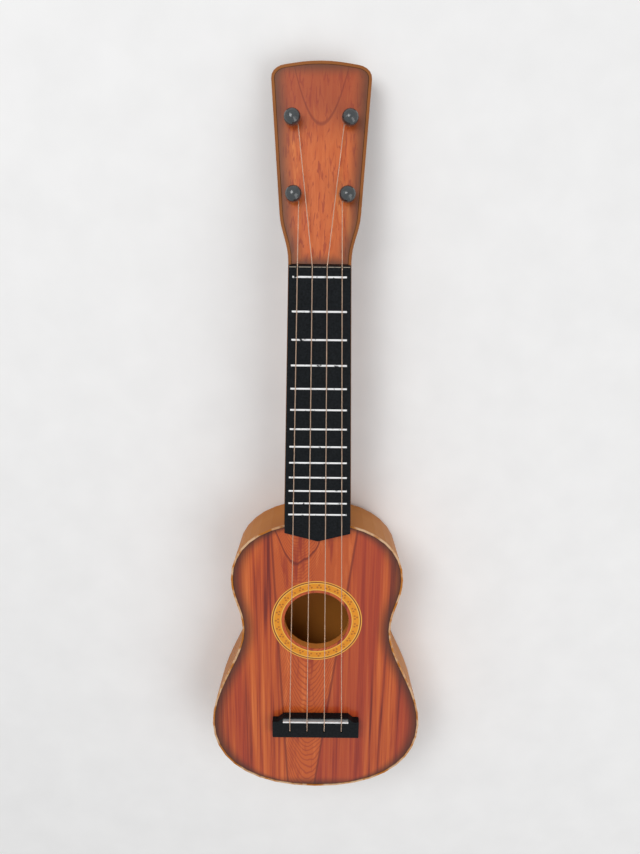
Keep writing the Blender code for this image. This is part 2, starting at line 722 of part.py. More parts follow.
def make_headstock_face():
    loop = head_loop(HEAD_RIM + SEAT, SEAT)
    face = piece("headstock_face", slab_mesh("headstock_face", loop, -FACE_THICKNESS, 0),
                 head_frame, wood_finish)
    screws = [(0, along) for along in FACE_SCREWS_AT]
    post_low = -FACE_THICKNESS - FACE_POST_LENGTH
    posts = rods_mesh("face_posts", screws, FACE_POST_RADIUS, post_low, -FACE_THICKNESS / 2, 12)
    pilots = rods_mesh("face_pilots", screws, SHANK_RADIUS + SEAT, post_low - FACE_THICKNESS,
                       -FACE_THICKNESS / 2, 12)
    holes = rods_mesh("face_peg_holes", PEGS, PEG_HOLE_RADIUS, -HEAD_THICKNESS, HEAD_THICKNESS)
    combine(face, tool("face_posts", posts, head_frame), "UNION")
    combine(face, tool("face_pilots", pilots, head_frame), "DIFFERENCE")
    combine(face, tool("face_peg_holes", holes, head_frame), "DIFFERENCE")
    bite = HEAD_THICKNESS - HEAD_HEIGHT - FACE_THICKNESS
    for i, (x, along) in enumerate(screws, 1):
        at = (x, along, -HEAD_THICKNESS + SEAT)
        screw(f"face_screw_{i}", head_frame, at, bite, steel_finish)


def bridge_screw_places():
    along = (BRIDGE_TAIL_AT + BRIDGE_EARS_AT) / 2
    return [(side * BRIDGE_SCREW_SPACING / 2, along) for side in (-1, 1)]


def make_bridge():
    chamfer = BRIDGE_BLOCK_AT - BRIDGE_EARS_AT
    loop = mirrored([
        Vector((BRIDGE_WIDTH / 2, BRIDGE_TAIL_AT)),
        Vector((BRIDGE_WIDTH / 2, BRIDGE_EARS_AT)),
        Vector((BRIDGE_BLOCK_WIDTH / 2 + chamfer, BRIDGE_EARS_AT)),
        Vector((BRIDGE_BLOCK_WIDTH / 2, BRIDGE_BLOCK_AT)),
    ])
    bridge = piece("bridge", slab_mesh("bridge", loop, BRIDGE_BOTTOM, BRIDGE_TOP),
                   tail_frame, black_finish)
    bevel(bridge, BRIDGE_EDGE, 2)
    half = SADDLE_LENGTH / 2 + SEAT
    slot_half = SADDLE_THICKNESS / 2 + SEAT
    slot = box_mesh("saddle_slot", (-half, SADDLE_AT - slot_half, BRIDGE_TOP - SADDLE_SLOT_DEPTH),
                    (half, SADDLE_AT + slot_half, BRIDGE_TOP + SADDLE_PROUD))
    groove = box_mesh("bridge_groove", (-half, SADDLE_AT, BRIDGE_TOP - GROOVE_DEPTH),
                      (half, SADDLE_AT + slot_half + GROOVE_WIDTH, BRIDGE_TOP + SADDLE_PROUD))
    strings_at = [(string_x(i, SADDLE_SPACING), STRING_HOLE_AT) for i in range(STRINGS)]
    string_holes = rods_mesh("bridge_string_holes", strings_at, STRING_HOLE_RADIUS,
                             BRIDGE_BOTTOM - SEAT, BRIDGE_TOP + SEAT, 10)
    pilots = rods_mesh("bridge_pilots", bridge_screw_places(), SHANK_RADIUS + SEAT,
                       BRIDGE_BOTTOM - SEAT, BRIDGE_BOTTOM + BRIDGE_SCREW_BITE + SEAT, 12)
    combine(bridge, tool("saddle_slot", slot, tail_frame), "DIFFERENCE")
    combine(bridge, tool("bridge_groove", groove, tail_frame), "DIFFERENCE")
    combine(bridge, tool("bridge_string_holes", string_holes, tail_frame), "DIFFERENCE")
    combine(bridge, tool("bridge_pilots", pilots, tail_frame), "DIFFERENCE")
    saddle_mesh = box_mesh(
        "saddle",
        (-SADDLE_LENGTH / 2, SADDLE_AT - SADDLE_THICKNESS / 2, BRIDGE_TOP - SADDLE_SLOT_DEPTH + SEAT),
        (SADDLE_LENGTH / 2, SADDLE_AT + SADDLE_THICKNESS / 2, SADDLE_TOP),
    )
    saddle = piece("saddle", saddle_mesh, tail_frame, foil_finish)
    bevel(saddle, 0.0003, 2)
    bite = BRIDGE_BOTTOM + BRIDGE_SCREW_BITE - (BOARD_BOTTOM - SEAT)
    for i, (x, along) in enumerate(bridge_screw_places(), 1):
        at = (x, along, BOARD_BOTTOM - SEAT - HEAD_HEIGHT)
        screw(f"bridge_screw_{i}", tail_frame, at, bite, steel_finish)


def make_pegs():
    for i, (x, along) in enumerate(PEGS, 1):
        axis = empty(f"peg_axis_{i}", head_frame, (x, along, 0))
        make_peg_cap(f"peg_cap_{i}", axis)
        make_peg_key(f"peg_key_{i}", axis)
        ring = (
            (WASHER_RADIUS, WASHER_TOP), (WASHER_RADIUS, WASHER_TOP - WASHER_THICKNESS),
            (PEG_HOLE_RADIUS, WASHER_TOP - WASHER_THICKNESS), (PEG_HOLE_RADIUS, WASHER_TOP),
        )
        washer = piece(f"peg_washer_{i}", profile_mesh(f"peg_washer_{i}", ring, closed=True),
                       axis, washer_finish)
        turn(washer)


def make_peg_cap(name, axis):
    """The domed cap with its stem, bored from below for the key's spigot."""
    shoulder = STEM_HEIGHT + CAP_SIDE
    dome_steps = 5
    outline = []
    for step in range(dome_steps + 1):
        angle = math.pi / 2 * step / dome_steps
        outline.append((CAP_RADIUS * math.sin(angle), shoulder + CAP_DOME * math.cos(angle)))
    bore = SPIGOT_RADIUS + SEAT
    stem_low = 2 * SEAT
    outline += [
        (CAP_RADIUS * 0.98, STEM_HEIGHT + 0.001), (CAP_RADIUS * 0.85, STEM_HEIGHT),
        (STEM_RADIUS, STEM_HEIGHT), (STEM_RADIUS, stem_low), (bore, stem_low),
        (bore, shoulder), (0, shoulder),
    ]
    turn(piece(name, profile_mesh(name, outline), axis, peg_finish))


def make_peg_key(name, axis):
    """The turning key behind the headstock, in one with its shaft."""
    hub_low = KEY_TOP - KEY_HUB_LENGTH
    outline = (
        (0, STEM_HEIGHT + CAP_SIDE - SEAT), (SPIGOT_RADIUS, STEM_HEIGHT + CAP_SIDE - SEAT),
        (SPIGOT_RADIUS, SEAT), (SHAFT_RADIUS, SEAT), (SHAFT_RADIUS, KEY_TOP),
        (KEY_HUB_RADIUS, KEY_TOP), (KEY_HUB_RADIUS, hub_low), (0, hub_low),
    )
    key = piece(name, profile_mesh(name, outline), axis, peg_finish)
    turn(key)
    steps = 20
    oval = []
    for step in range(steps):
        angle = 2 * math.pi * step / steps
        oval.append(Vector((KEY_WIDTH / 2 * math.cos(angle), KEY_HEIGHT / 2 * math.sin(angle))))
    paddle_mesh = slab_mesh(f"{name}_paddle", oval, -KEY_THICKNESS / 2, KEY_THICKNESS / 2)
    upright = Matrix.Rotation(math.radians(90), 4, "Z") @ Matrix.Rotation(math.radians(90), 4, "X")
    middle = Matrix.Translation((0, 0, KEY_TOP - KEY_HUB_LENGTH * 0.6 - KEY_HEIGHT / 2 + 0.0006))
    paddle_mesh.transform(middle @ upright)
    paddle = tool(f"{name}_paddle", paddle_mesh, axis)
    bevel(paddle, 0.0008)
    combine(key, paddle, "UNION")


def winding_points(start, centre, side):
    """From the nut, in the headstock's frame: a tangent to the stem, then even turns down it."""
    radius = STEM_RADIUS + SEAT + STRING_RADIUS
    to_centre = Vector((centre[0] - start.x, centre[1] - start.y))
    aim = math.atan2(to_centre.y, to_centre.x) + side * math.asin(radius / to_centre.length)
    run = math.sqrt(to_centre.length ** 2 - radius ** 2)
    touch = Vector((start.x + run * math.cos(aim), start.y + run * math.sin(aim)))
    first = math.atan2(touch.y - centre[1], touch.x - centre[0])
    points = []
    count = WOUND_TURNS * POINTS_A_TURN
    for step in range(count + 1):
        angle = first - side * 2 * math.pi * step / POINTS_A_TURN
        points.append(Vector((
            centre[0] + radius * math.cos(angle),
            centre[1] + radius * math.sin(angle),
            WINDING_TOP - WINDING_PITCH * step / POINTS_A_TURN,
        )))
    last = (points[-1] - points[-2]).normalized()
    points.append(points[-1] + last * 3 * STRING_RADIUS)
    return points


def least_gap(points):
    """The least clear distance between two stretches of a winding over half a turn apart."""
    apart = POINTS_A_TURN // 2
    nearest = min(
        (points[i] - points[j]).length
        for i in range(len(points)) for j in range(i + apart, len(points))
    )
    return nearest - 2 * STRING_RADIUS


def make_strings():
    """One unbroken nylon string each: knot, bridge hole, saddle, nut, and turns on the stem."""
    head = Matrix.Translation((0, NUT_AT, BODY_DEPTH)) @ Matrix.Rotation(-HEAD_TILT, 4, "X")
    for i, (peg_x, peg_along) in enumerate(PEGS):
        x = string_x(i, SADDLE_SPACING)
        nut_x = string_x(i, NUT_SPACING)
        knot = Vector((x, STRING_HOLE_AT, BOARD_BOTTOM - SEAT - KNOT_RADIUS))
        over_nut = Vector((nut_x, NUT_AT - SEAT, string_height(NUT_AT)))
        route = [
            knot,
            Vector((x, STRING_HOLE_AT, BRIDGE_TOP - 0.0004)),
            Vector((x, STRING_HOLE_AT + 0.0003, BRIDGE_TOP + 0.0003)),
            Vector((x, STRING_HOLE_AT + 0.0010, BRIDGE_TOP + 0.0008)),
            Vector((x, SADDLE_AT - SADDLE_THICKNESS / 2, string_height(SADDLE_AT))),
            Vector((x, SADDLE_AT + SADDLE_THICKNESS / 2, string_height(SADDLE_AT))),
            over_nut,
        ]
        side = math.copysign(1, peg_x)
        wound = winding_points(head.inverted() @ over_nut, (peg_x, peg_along), side)
        print(f"string_{i + 1}: least gap in its winding {least_gap(wound[:-1]) * 1000:.2f} mm")
        route += [head @ point for point in wound]
        curve = bpy.data.curves.new(f"string_{i + 1}", "CURVE")
        curve.dimensions = "3D"
        curve.bevel_depth = STRING_RADIUS
        curve.bevel_resolution = 1
        curve.use_fill_caps = True
        spline = curve.splines.new("POLY")
        spline.points.add(len(route) - 1)
        for point, place in zip(spline.points, route):
            point.co = (*place, 1)
        string = piece(f"string_{i + 1}", curve_mesh(curve, Matrix()), tail_frame, nylon_finish)
        ball = bmesh.new()
        bmesh.ops.create_icosphere(ball, subdivisions=1, radius=KNOT_RADIUS,
                                   matrix=Matrix.Translation(knot))
        combine(string, tool(f"knot_{i + 1}", finished_mesh(ball, f"knot_{i + 1}"), tail_frame),
                "UNION")


make_body_shell()
make_soundboard()
make_body_screws()
make_fretboard()
make_neck_shell()
make_neck_screws()
make_headstock_face()
make_bridge()
make_pegs()
make_strings()
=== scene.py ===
# %% [markdown]
# # A toy ukulele, dressed in Blender
# The imported model gives every piece of the instrument at its real size. This lesson gives each
# piece its finish, sets up soft studio light, and looks from where the photograph was taken.

# %% Load the frame
import json
import math

import bpy
from mathutils import Matrix, Vector

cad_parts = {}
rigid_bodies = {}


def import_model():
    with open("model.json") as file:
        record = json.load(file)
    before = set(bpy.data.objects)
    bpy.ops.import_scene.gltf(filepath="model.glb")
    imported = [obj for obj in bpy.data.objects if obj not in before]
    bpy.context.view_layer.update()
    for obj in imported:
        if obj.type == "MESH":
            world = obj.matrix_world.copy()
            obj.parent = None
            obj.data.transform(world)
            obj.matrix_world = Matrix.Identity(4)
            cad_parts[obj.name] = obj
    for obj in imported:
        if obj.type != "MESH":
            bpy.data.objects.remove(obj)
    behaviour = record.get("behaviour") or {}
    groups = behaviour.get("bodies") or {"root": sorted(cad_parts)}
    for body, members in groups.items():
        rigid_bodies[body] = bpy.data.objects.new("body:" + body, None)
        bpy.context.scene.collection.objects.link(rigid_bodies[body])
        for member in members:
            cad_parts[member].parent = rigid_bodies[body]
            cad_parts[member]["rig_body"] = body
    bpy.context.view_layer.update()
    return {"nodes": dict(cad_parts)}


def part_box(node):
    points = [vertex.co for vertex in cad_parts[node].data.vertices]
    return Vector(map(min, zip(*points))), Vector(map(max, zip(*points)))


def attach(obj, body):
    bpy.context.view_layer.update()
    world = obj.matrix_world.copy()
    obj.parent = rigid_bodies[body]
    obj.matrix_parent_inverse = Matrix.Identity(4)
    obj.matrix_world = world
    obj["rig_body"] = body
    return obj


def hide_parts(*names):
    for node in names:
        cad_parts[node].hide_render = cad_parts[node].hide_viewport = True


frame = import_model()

nodes = frame["nodes"]
print("pieces in the frame:", len(nodes))

# %% [markdown]
# The camera and the printed patterns are lined up with places on the instrument: its tail end,
# the nut, the top of the soundboard and the middle of the sound hole. They could be typed in,
# but reading them from the pieces keeps them right when the model is packed again. Only the
# hole's distance from the tail is typed, because the hole isn't a piece of its own.

# %% Places read from the frame
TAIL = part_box("body_shell")[0].y
BOARD_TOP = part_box("soundboard")[1].z
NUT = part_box("fretboard")[1].y
RIDGE_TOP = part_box("fretboard")[1].z
HOLE_FROM_TAIL = 0.1612
HOLE_Y = TAIL + HOLE_FROM_TAIL
print("soundboard top at", round(BOARD_TOP, 4), "hole centre at", round(HOLE_Y, 4))

# %% [markdown]
# The photograph looks down on the headstock, with the lens tipped towards the body. The height,
# the tilt and a small roll come from fitting the fret lines and the round hole, which the tilt
# squeezes to an oval. The lens is worked out from the focal length in pixels, because that is
# what such a fit gives.

# %% Camera
SENSOR = 36
LONG_SIDE = 854
FOCAL_LENGTH_IN_PIXELS = 832
CAMERA_HEIGHT = 0.563
CAMERA_FROM_TAIL = 0.522
CAMERA_ASIDE = 0.0012
CAMERA_TILT = math.radians(-19.52)
CAMERA_ROLL = math.radians(0.565)

lens = bpy.data.cameras.new("phone_lens")
lens.sensor_width = SENSOR
lens.lens = SENSOR * FOCAL_LENGTH_IN_PIXELS / LONG_SIDE
camera = bpy.data.objects.new("phone", lens)
bpy.context.scene.collection.objects.link(camera)
camera_place = Vector((CAMERA_ASIDE, TAIL + CAMERA_FROM_TAIL, BOARD_TOP + CAMERA_HEIGHT))
camera.matrix_world = (
    Matrix.Translation(camera_place)
    @ Matrix.Rotation(CAMERA_TILT, 4, "X")
    @ Matrix.Rotation(CAMERA_ROLL, 4, "Z")
)
bpy.context.scene.camera = camera
print("camera at", [round(value, 3) for value in camera_place])

# %% [markdown]
# A finish is a small tree of nodes that ends in one shader. A value that is the same all over
# the surface, such as the roughness of a moulding, goes straight on the shader's own socket.
# Nodes are kept for what changes from place to place.


# %% A new finish
def new_finish(name, roughness, specular=0.5, metallic=0.0, coat=0.0, transmission=0.0):
    finish = bpy.data.materials.new(name)
    finish.use_nodes = True
    shader = finish.node_tree.nodes["Principled BSDF"]
    for socket, value in (
        ("Roughness", roughness),
        ("Specular IOR Level", specular),
        ("Metallic", metallic),
        ("Coat Weight", coat),
        ("Transmission Weight", transmission),
    ):
        shader.inputs[socket].default_value = value
    return finish, finish.node_tree, shader


print("finishes start from the Principled shader")

# %% [markdown]
# Printed grain is drawn with sums: distances, bands and waves. Each sum is a maths node, and
# long chains of them are hard to read. A small class wraps a node's output, so that plus,
# minus and times between two of them, or with a plain number, add the right node.


# %% Sums on a surface
class Varying:
    """A number, colour or place that changes over a surface: one output of a node."""

    def __init__(self, tree, socket):
        self.tree = tree
        self.socket = socket

    def __add__(self, other):
        return maths("ADD", self, other)

    def __sub__(self, other):
        return maths("SUBTRACT", self, other)

    def __rsub__(self, other):
        return maths("SUBTRACT", other, self)

    def __mul__(self, other):
        return maths("MULTIPLY", self, other)

    def __abs__(self):
        return maths("ABSOLUTE", self)


def feed(tree, socket, value):
    """Links a varying value to a socket, or sets a plain number or colour on it."""
    if isinstance(value, Varying):
        tree.links.new(value.socket, socket)
    elif isinstance(value, tuple):
        socket.default_value = (*value, 1)
    else:
        socket.default_value = value


def maths(operation, *values):
    tree = next(value.tree for value in values if isinstance(value, Varying))
    node = tree.nodes.new("ShaderNodeMath")
    node.operation = operation
    for socket, value in zip(node.inputs, values):
        feed(tree, socket, value)
    return Varying(tree, node.outputs[0])


def distance(first, second):
    return maths("SQRT", first * first + second * second)


print("sums ready: plus, minus, times, size without sign, distance")

# %% [markdown]
# Few edges in a print or a worn moulding are sharp. A smooth step rises softly from 0 to 1
# between two values, so one minus it fades out, and two of them make a band.


# %% Soft edges
def smooth_step(value, low, high):
    """0 below low, 1 above high, and a soft rise between them."""
    node = value.tree.nodes.new("ShaderNodeMapRange")
    node.interpolation_type = "SMOOTHSTEP"
    node.inputs["From Min"].default_value = low
    node.inputs["From Max"].default_value = high
    feed(value.tree, node.inputs["Value"], value)
    return Varying(value.tree, node.outputs["Result"])


def fade(value, low, high):
    """1 below low, 0 above high, and a soft fall between them."""
    return 1.0 - smooth_step(value, low, high)


print("soft edges ready")

# %% [markdown]
# Colours are chosen in two ways. A ramp turns a number into a colour, which suits grain. Paint
# lays one colour over another as thickly as a share says, which suits lines, bands and wear.

# %% Colours
MIX_SHARE, MIX_BASE, MIX_COLOUR, MIX_RESULT = 0, 6, 7, 2


def ramp(value, stops):
    node = value.tree.nodes.new("ShaderNodeValToRGB")
    elements = node.color_ramp.elements
    while len(elements) < len(stops):
        elements.new(0.5)
    for element, (place, colour) in zip(elements, stops):
        element.position = place
        element.color = (*colour, 1)
    feed(value.tree, node.inputs["Fac"], value)
    return Varying(value.tree, node.outputs["Color"])


def paint(base, colour, share):
    """The base colour with another laid over it, as thickly as share says."""
    node = base.tree.nodes.new("ShaderNodeMix")
    node.data_type = "RGBA"
    for socket, value in ((MIX_SHARE, share), (MIX_BASE, base), (MIX_COLOUR, colour)):
        feed(base.tree, node.inputs[socket], value)
    return Varying(base.tree, node.outputs[MIX_RESULT])


print("colour helpers ready")

# %% [markdown]
# Every pattern is tied to the piece and not to the camera, so it stays put from all sides and
# when a peg turns. Noise gives the uneven part of it: stretched one way it is grain, and even
# on all sides it is the fine texture of a mould. The same noise can also lift the surface.

# %% Places, noise and fine relief
BUMP_DEPTH = 0.0002


def places(tree):
    """The piece's own x, y and z, in metres, and the three together."""
    whole = tree.nodes.new("ShaderNodeTexCoord").outputs["Object"]
    split = tree.nodes.new("ShaderNodeSeparateXYZ")
    tree.links.new(whole, split.inputs[0])
    return [Varying(tree, socket) for socket in (*split.outputs, whole)]


def noise(place, stretch, detail, distortion=0.0):
    tree = place.tree
    mapping = tree.nodes.new("ShaderNodeMapping")
    mapping.inputs["Scale"].default_value = stretch
    feed(tree, mapping.inputs["Vector"], place)
    texture = tree.nodes.new("ShaderNodeTexNoise")
    texture.inputs["Scale"].default_value = 1.0
    texture.inputs["Detail"].default_value = detail
    texture.inputs["Distortion"].default_value = distortion
    tree.links.new(mapping.outputs["Vector"], texture.inputs["Vector"])
    return Varying(tree, texture.outputs["Fac"])


def even_noise(place, scale, detail):
    return noise(place, (scale, scale, scale), detail)


def bump(shader, height, strength):
    node = height.tree.nodes.new("ShaderNodeBump")
    node.inputs["Strength"].default_value = strength
    node.inputs["Distance"].default_value = BUMP_DEPTH
    feed(height.tree, node.inputs["Height"], height)
    height.tree.links.new(node.outputs["Normal"], shader.inputs["Normal"])


print("pattern helpers ready")

# %% [markdown]
# The front and the headstock are plastic with a picture of wood printed on them. Long streaks
# run along the instrument, from dark red to light orange. Two noises make them, one wide and
# one fine, both stretched along the grain. Their sum picks a colour from four.

# %% Streaks of the wood print
DARK_RED = (0.16, 0.016, 0.008)
RED_BROWN = (0.31, 0.036, 0.013)
RUSSET = (0.40, 0.060, 0.016)
ORANGE_BROWN = (0.52, 0.100, 0.020)
WARM_ORANGE = (0.60, 0.14, 0.032)
LIGHT_ORANGE = (0.64, 0.155, 0.036)
PALE_ORANGE = (0.70, 0.20, 0.045)
WIDE_SHARE, FINE_SHARE = 0.68, 0.32
FINER = 3.4


def wood_streaks(place, stretch, low, middle, high):
    wide = noise(place, stretch, 3.0, 0.6)
    fine = noise(place, tuple(FINER * side for side in stretch), 5.0, 0.3)
    both = wide * WIDE_SHARE + fine * FINE_SHARE
    return ramp(both, ((0.36, low), (0.47, middle), (0.56, ORANGE_BROWN), (0.66, high)))


print("fine grain is", FINER, "times finer than the wide grain")

# %% [markdown]
# Boards cut across the rings of a tree show a figure of nested bowls. On this print they open
# towards the neck. A parabola gives one bowl, and the height above it gives all the others. A
# little noise makes the lines waver as drawn wood does.

# %% Bowls of the wood print
WAVER = 0.016
WAVER_STRETCH = (60, 30, 1)


def above_bowl(x, y, place, aside, tip, steepness):
    """How far each place lies above the bowl whose lowest point is at aside and tip."""
    off = x - aside
    waver = (noise(place, WAVER_STRETCH, 3.0) - 0.5) * WAVER
    return y - tip - off * off * steepness + waver


print("one parabola gives every bowl")

# %% [markdown]
# The print darkens towards the outline, like a sunburst finish. The shade has to follow the
# figure-of-eight shape. Its half width is read from the edges of the piece's own mesh at equal
# steps along the length, and a curve node turns any place along the length into that width.

# %% Shade along the outline
WIDTH_STEPS = 28
END_INSET = 0.0004
CURVE_GAIN = 10
SHADE_STARTS_OUTSIDE = -0.001


def outline_widths(name):
    """Where the piece starts and ends, and its half width at equal steps between."""
    low, high = (corner.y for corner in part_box(name))
    mesh = nodes[name].data
    edges = [[mesh.vertices[index].co for index in edge.vertices] for edge in mesh.edges]
    widths = []
    for step in range(WIDTH_STEPS):
        share = step / (WIDTH_STEPS - 1)
        station = min(max(low + (high - low) * share, low + END_INSET), high - END_INSET)
        crossed = [0.0]
        for first, second in edges:
            if first.y != second.y and min(first.y, second.y) <= station <= max(first.y, second.y):
                part = (station - first.y) / (second.y - first.y)
                crossed.append(abs(first.x + (second.x - first.x) * part))
        widths.append((share, max(crossed)))
    return low, high, widths


def half_width(y, low, high, widths):
    """The outline's half width at each place along the length."""
    tree = y.tree
    along = tree.nodes.new("ShaderNodeMapRange")
    along.inputs["From Min"].default_value = low
    along.inputs["From Max"].default_value = high
    feed(tree, along.inputs["Value"], y)
    curve = tree.nodes.new("ShaderNodeFloatCurve")
    points = curve.mapping.curves[0].points
    while len(points) < len(widths):
        points.new(0.5, 0.5)
    for point, (share, width) in zip(points, widths):
        point.location = (share, width * CURVE_GAIN)
    curve.mapping.update()
    tree.links.new(along.outputs["Result"], curve.inputs["Value"])
    return Varying(tree, curve.outputs["Value"]) * (1 / CURVE_GAIN)


def edge_shade(x, y, name, reach, end_reach):
    """1 at the piece's outline, and 0 further in than reach, or than end_reach at its ends."""
    low, high, widths = outline_widths(name)
    room = half_width(y, low, high, widths) - abs(x)
    ends = maths("MINIMUM", y - low, high - y)
    room = maths("MINIMUM", room, ends * (reach / end_reach))
    return fade(room, SHADE_STARTS_OUTSIDE, reach)


widest = max(width for share, width in outline_widths("soundboard")[2])
print("widest half width of the soundboard:", round(widest, 4))

# %% [markdown]
# Round the sound hole runs a printed ring: a yellow band between thin lines, with small dark
# three-lobed motifs. The distance from the hole's centre gives the rings. The angle, cut into
# equal parts, gives each motif its own small patch, where three dots are drawn.

# %% Rosette
MOTIFS = 27
MOTIF_RADIUS = 0.0307
LOBES = ((-0.0013, -0.0006), (0.0013, -0.0006), (0.0, 0.0012))
LOBE_CORE, LOBE_EDGE = 0.0006, 0.0010
WHOLE_TURNS = 100.0
RING_SOFTNESS = 0.0002
YELLOW_BAND = (0.0278, 0.0336, (0.74, 0.27, 0.012))
MOTIF_BROWN = (0.34, 0.10, 0.012)
THIN_RINGS = (
    (0.0276, 0.0282, (0.85, 0.52, 0.08)),
    (0.0332, 0.0338, (0.85, 0.52, 0.08)),
    (0.0341, 0.0347, (0.12, 0.03, 0.01)),
    (0.0348, 0.0355, (0.82, 0.42, 0.06)),
)


def ring(radius, low, high):
    rise = smooth_step(radius, low - RING_SOFTNESS, low + RING_SOFTNESS)
    fall = smooth_step(radius, high - RING_SOFTNESS, high + RING_SOFTNESS)
    return rise - fall


def motifs(x, from_hole, radius):
    """1 on the three dots of each motif, 0 elsewhere."""
    turns = maths("ARCTAN2", from_hole, x) * (MOTIFS / (2 * math.pi))
    across = (maths("FRACT", turns + WHOLE_TURNS) - 0.5) * (2 * math.pi * MOTIF_RADIUS / MOTIFS)
    outward = radius - MOTIF_RADIUS
    dots = [distance(across - aside, outward - rise) for aside, rise in LOBES]
    nearest = maths("MINIMUM", maths("MINIMUM", dots[0], dots[1]), dots[2])
    return fade(nearest, LOBE_CORE, LOBE_EDGE)


def rosette(x, y, colour):
    from_hole = y - HOLE_Y
    radius = distance(x, from_hole)
    low, high, yellow = YELLOW_BAND
    colour = paint(colour, yellow, ring(radius, low, high))
    colour = paint(colour, MOTIF_BROWN, motifs(x, from_hole, radius) * 0.75)
    for low, high, line in THIN_RINGS:
        colour = paint(colour, line, ring(radius, low, high))
    return colour


print("rosette of", MOTIFS, "motifs and", len(THIN_RINGS), "thin rings")

# %% [markdown]
# The front's print has three boards. The middle one narrows towards the tail and carries two
# figures of bowls, one by the fretboard and one below the hole. The outer two have long
# streaks and redder parts. Thin dark seams part them. One tree of nodes draws all of it, so
# that the boards, the shade and the rosette line up without a picture file.

# %% The soundboard's boards
UPPER_BOWLS = {"aside": -0.0135, "tip": HOLE_Y + 0.050, "steepness": 85.0}
LOWER_BOWLS = {"aside": -0.006, "tip": HOLE_Y - 0.075, "steepness": 95.0}
UPPER_SPACING, LOWER_SPACING = 0.0029, 0.0052
FIGURES_MEET = 0.01
LEFT_SEAM, LEFT_SLANT = 0.031, 0.05
RIGHT_SEAM, RIGHT_SLANT = 0.020, 0.13
DEEP_RED = (0.34, 0.034, 0.016)


def outer_boards(place):
    streaks = wood_streaks(place, (210, 5, 1), DARK_RED, RUSSET, LIGHT_ORANGE)
    redder = smooth_step(noise(place, (38, 2, 1), 1.0), 0.50, 0.62)
    return paint(streaks, DEEP_RED, redder * 0.55)


def middle_board(x, y, place):
    colour = wood_streaks(place, (110, 14, 1), RED_BROWN, ORANGE_BROWN, LIGHT_ORANGE)
    upper = above_bowl(x, y, place, **UPPER_BOWLS)
    lower = above_bowl(x, y, place, **LOWER_BOWLS)
    is_upper = smooth_step(y, HOLE_Y - FIGURES_MEET, HOLE_Y + FIGURES_MEET)
    for height, spacing, share in (
        (upper, UPPER_SPACING, is_upper),
        (lower, LOWER_SPACING, 1.0 - is_upper),
    ):
        wave = maths("SINE", height * (2 * math.pi / spacing))
        colour = paint(colour, RED_BROWN, smooth_step(wave, 0.1, 1.0) * share * 0.60)
    swirl = fade(abs(upper), 0.0004, 0.0022) * is_upper
    return paint(colour, DARK_RED, swirl * 0.85)


def inside_seams(x, y):
    """Above 0 on the middle board, below 0 on the outer ones."""
    towards_tail = HOLE_Y - y
    from_left = x + (LEFT_SEAM - towards_tail * LEFT_SLANT)
    from_right = RIGHT_SEAM - towards_tail * RIGHT_SLANT - x
    return maths("MINIMUM", from_left, from_right)


print("middle board at the hole:", round(LEFT_SEAM + RIGHT_SEAM, 3), "m wide")

# %% [markdown]
# The finish puts the boards together, then the seams, the shade along the outline and the
# rosette. The print lies on the front face only. Everything a little below it, which is the
# wall of the hole and the hidden side, shows the bare orange plastic.

# %% The soundboard's finish
SEAM_SOFTNESS = 0.0006
EDGE_BROWN = (0.035, 0.011, 0.005)
BARE_ORANGE = (0.70, 0.25, 0.050)
PRINT_THICKNESS = 0.0004
GRAIN_RELIEF = (500, 60, 500)


def finish_print(shader, place, colour):
    feed(place.tree, shader.inputs["Base Color"], colour)
    bump(shader, noise(place, GRAIN_RELIEF, 2.0), 0.08)


def soundboard_finish():
    finish, tree, shader = new_finish("soundboard_print", 0.30, specular=0.3, coat=0.12)
    x, y, z, place = places(tree)
    inside = inside_seams(x, y)
    is_middle = smooth_step(inside, -SEAM_SOFTNESS, SEAM_SOFTNESS)
    colour = paint(outer_boards(place), middle_board(x, y, place), is_middle)
    colour = paint(colour, DARK_RED, fade(abs(inside), 0.0002, 0.0014) * 0.75)
    colour = paint(colour, EDGE_BROWN, edge_shade(x, y, "soundboard", 0.0120, 0.009) * 0.88)
    colour = rosette(x, y, colour)
    is_bare = maths("LESS_THAN", z, BOARD_TOP - PRINT_THICKNESS)
    finish_print(shader, place, paint(colour, BARE_ORANGE, is_bare))
    return finish


finishes = {"soundboard": soundboard_finish()}
print("soundboard:", len(finishes["soundboard"].node_tree.nodes), "nodes")

# %% [markdown]
# The headstock's print is a lighter orange with short dark flecks. It turns redder above the
# upper pegs, where one line bends down between them like a bowl, and it has the same shade
# along its outline. Flecks are the low spots of a long, narrow noise. The plate is bare here:
# it carries wood and nothing else.

# %% The headstock's finish
REDDER_FROM, REDDER_TO = 0.070, 0.105
BOWL_FROM_NUT = 0.089
BOWL_STEEPNESS = 110.0
HEAD_RED = (0.27, 0.040, 0.018)
HEAD_EDGE_BROWN = (0.10, 0.036, 0.014)


def headstock_finish():
    finish, tree, shader = new_finish("headstock_print", 0.32, specular=0.3, coat=0.12)
    x, y, _, place = places(tree)
    colour = wood_streaks(place, (95, 16, 1), ORANGE_BROWN, WARM_ORANGE, PALE_ORANGE)
    flecks = fade(noise(place, (520, 90, 1), 3.0, 0.8), 0.36, 0.45)
    colour = paint(colour, RED_BROWN, flecks * 0.7)
    from_nut = y - NUT
    colour = paint(colour, HEAD_RED, smooth_step(from_nut, REDDER_FROM, REDDER_TO) * 0.60)
    above = from_nut - BOWL_FROM_NUT - x * x * BOWL_STEEPNESS
    colour = paint(colour, DARK_RED, fade(abs(above), 0.0002, 0.0022) * 0.55)
    shade = edge_shade(x, y, "headstock_face", 0.0110, 0.009)
    finish_print(shader, place, paint(colour, HEAD_EDGE_BROWN, shade * 0.88))
    return finish


finishes["headstock_face"] = headstock_finish()
print("headstock:", len(finishes["headstock_face"].node_tree.nodes), "nodes")
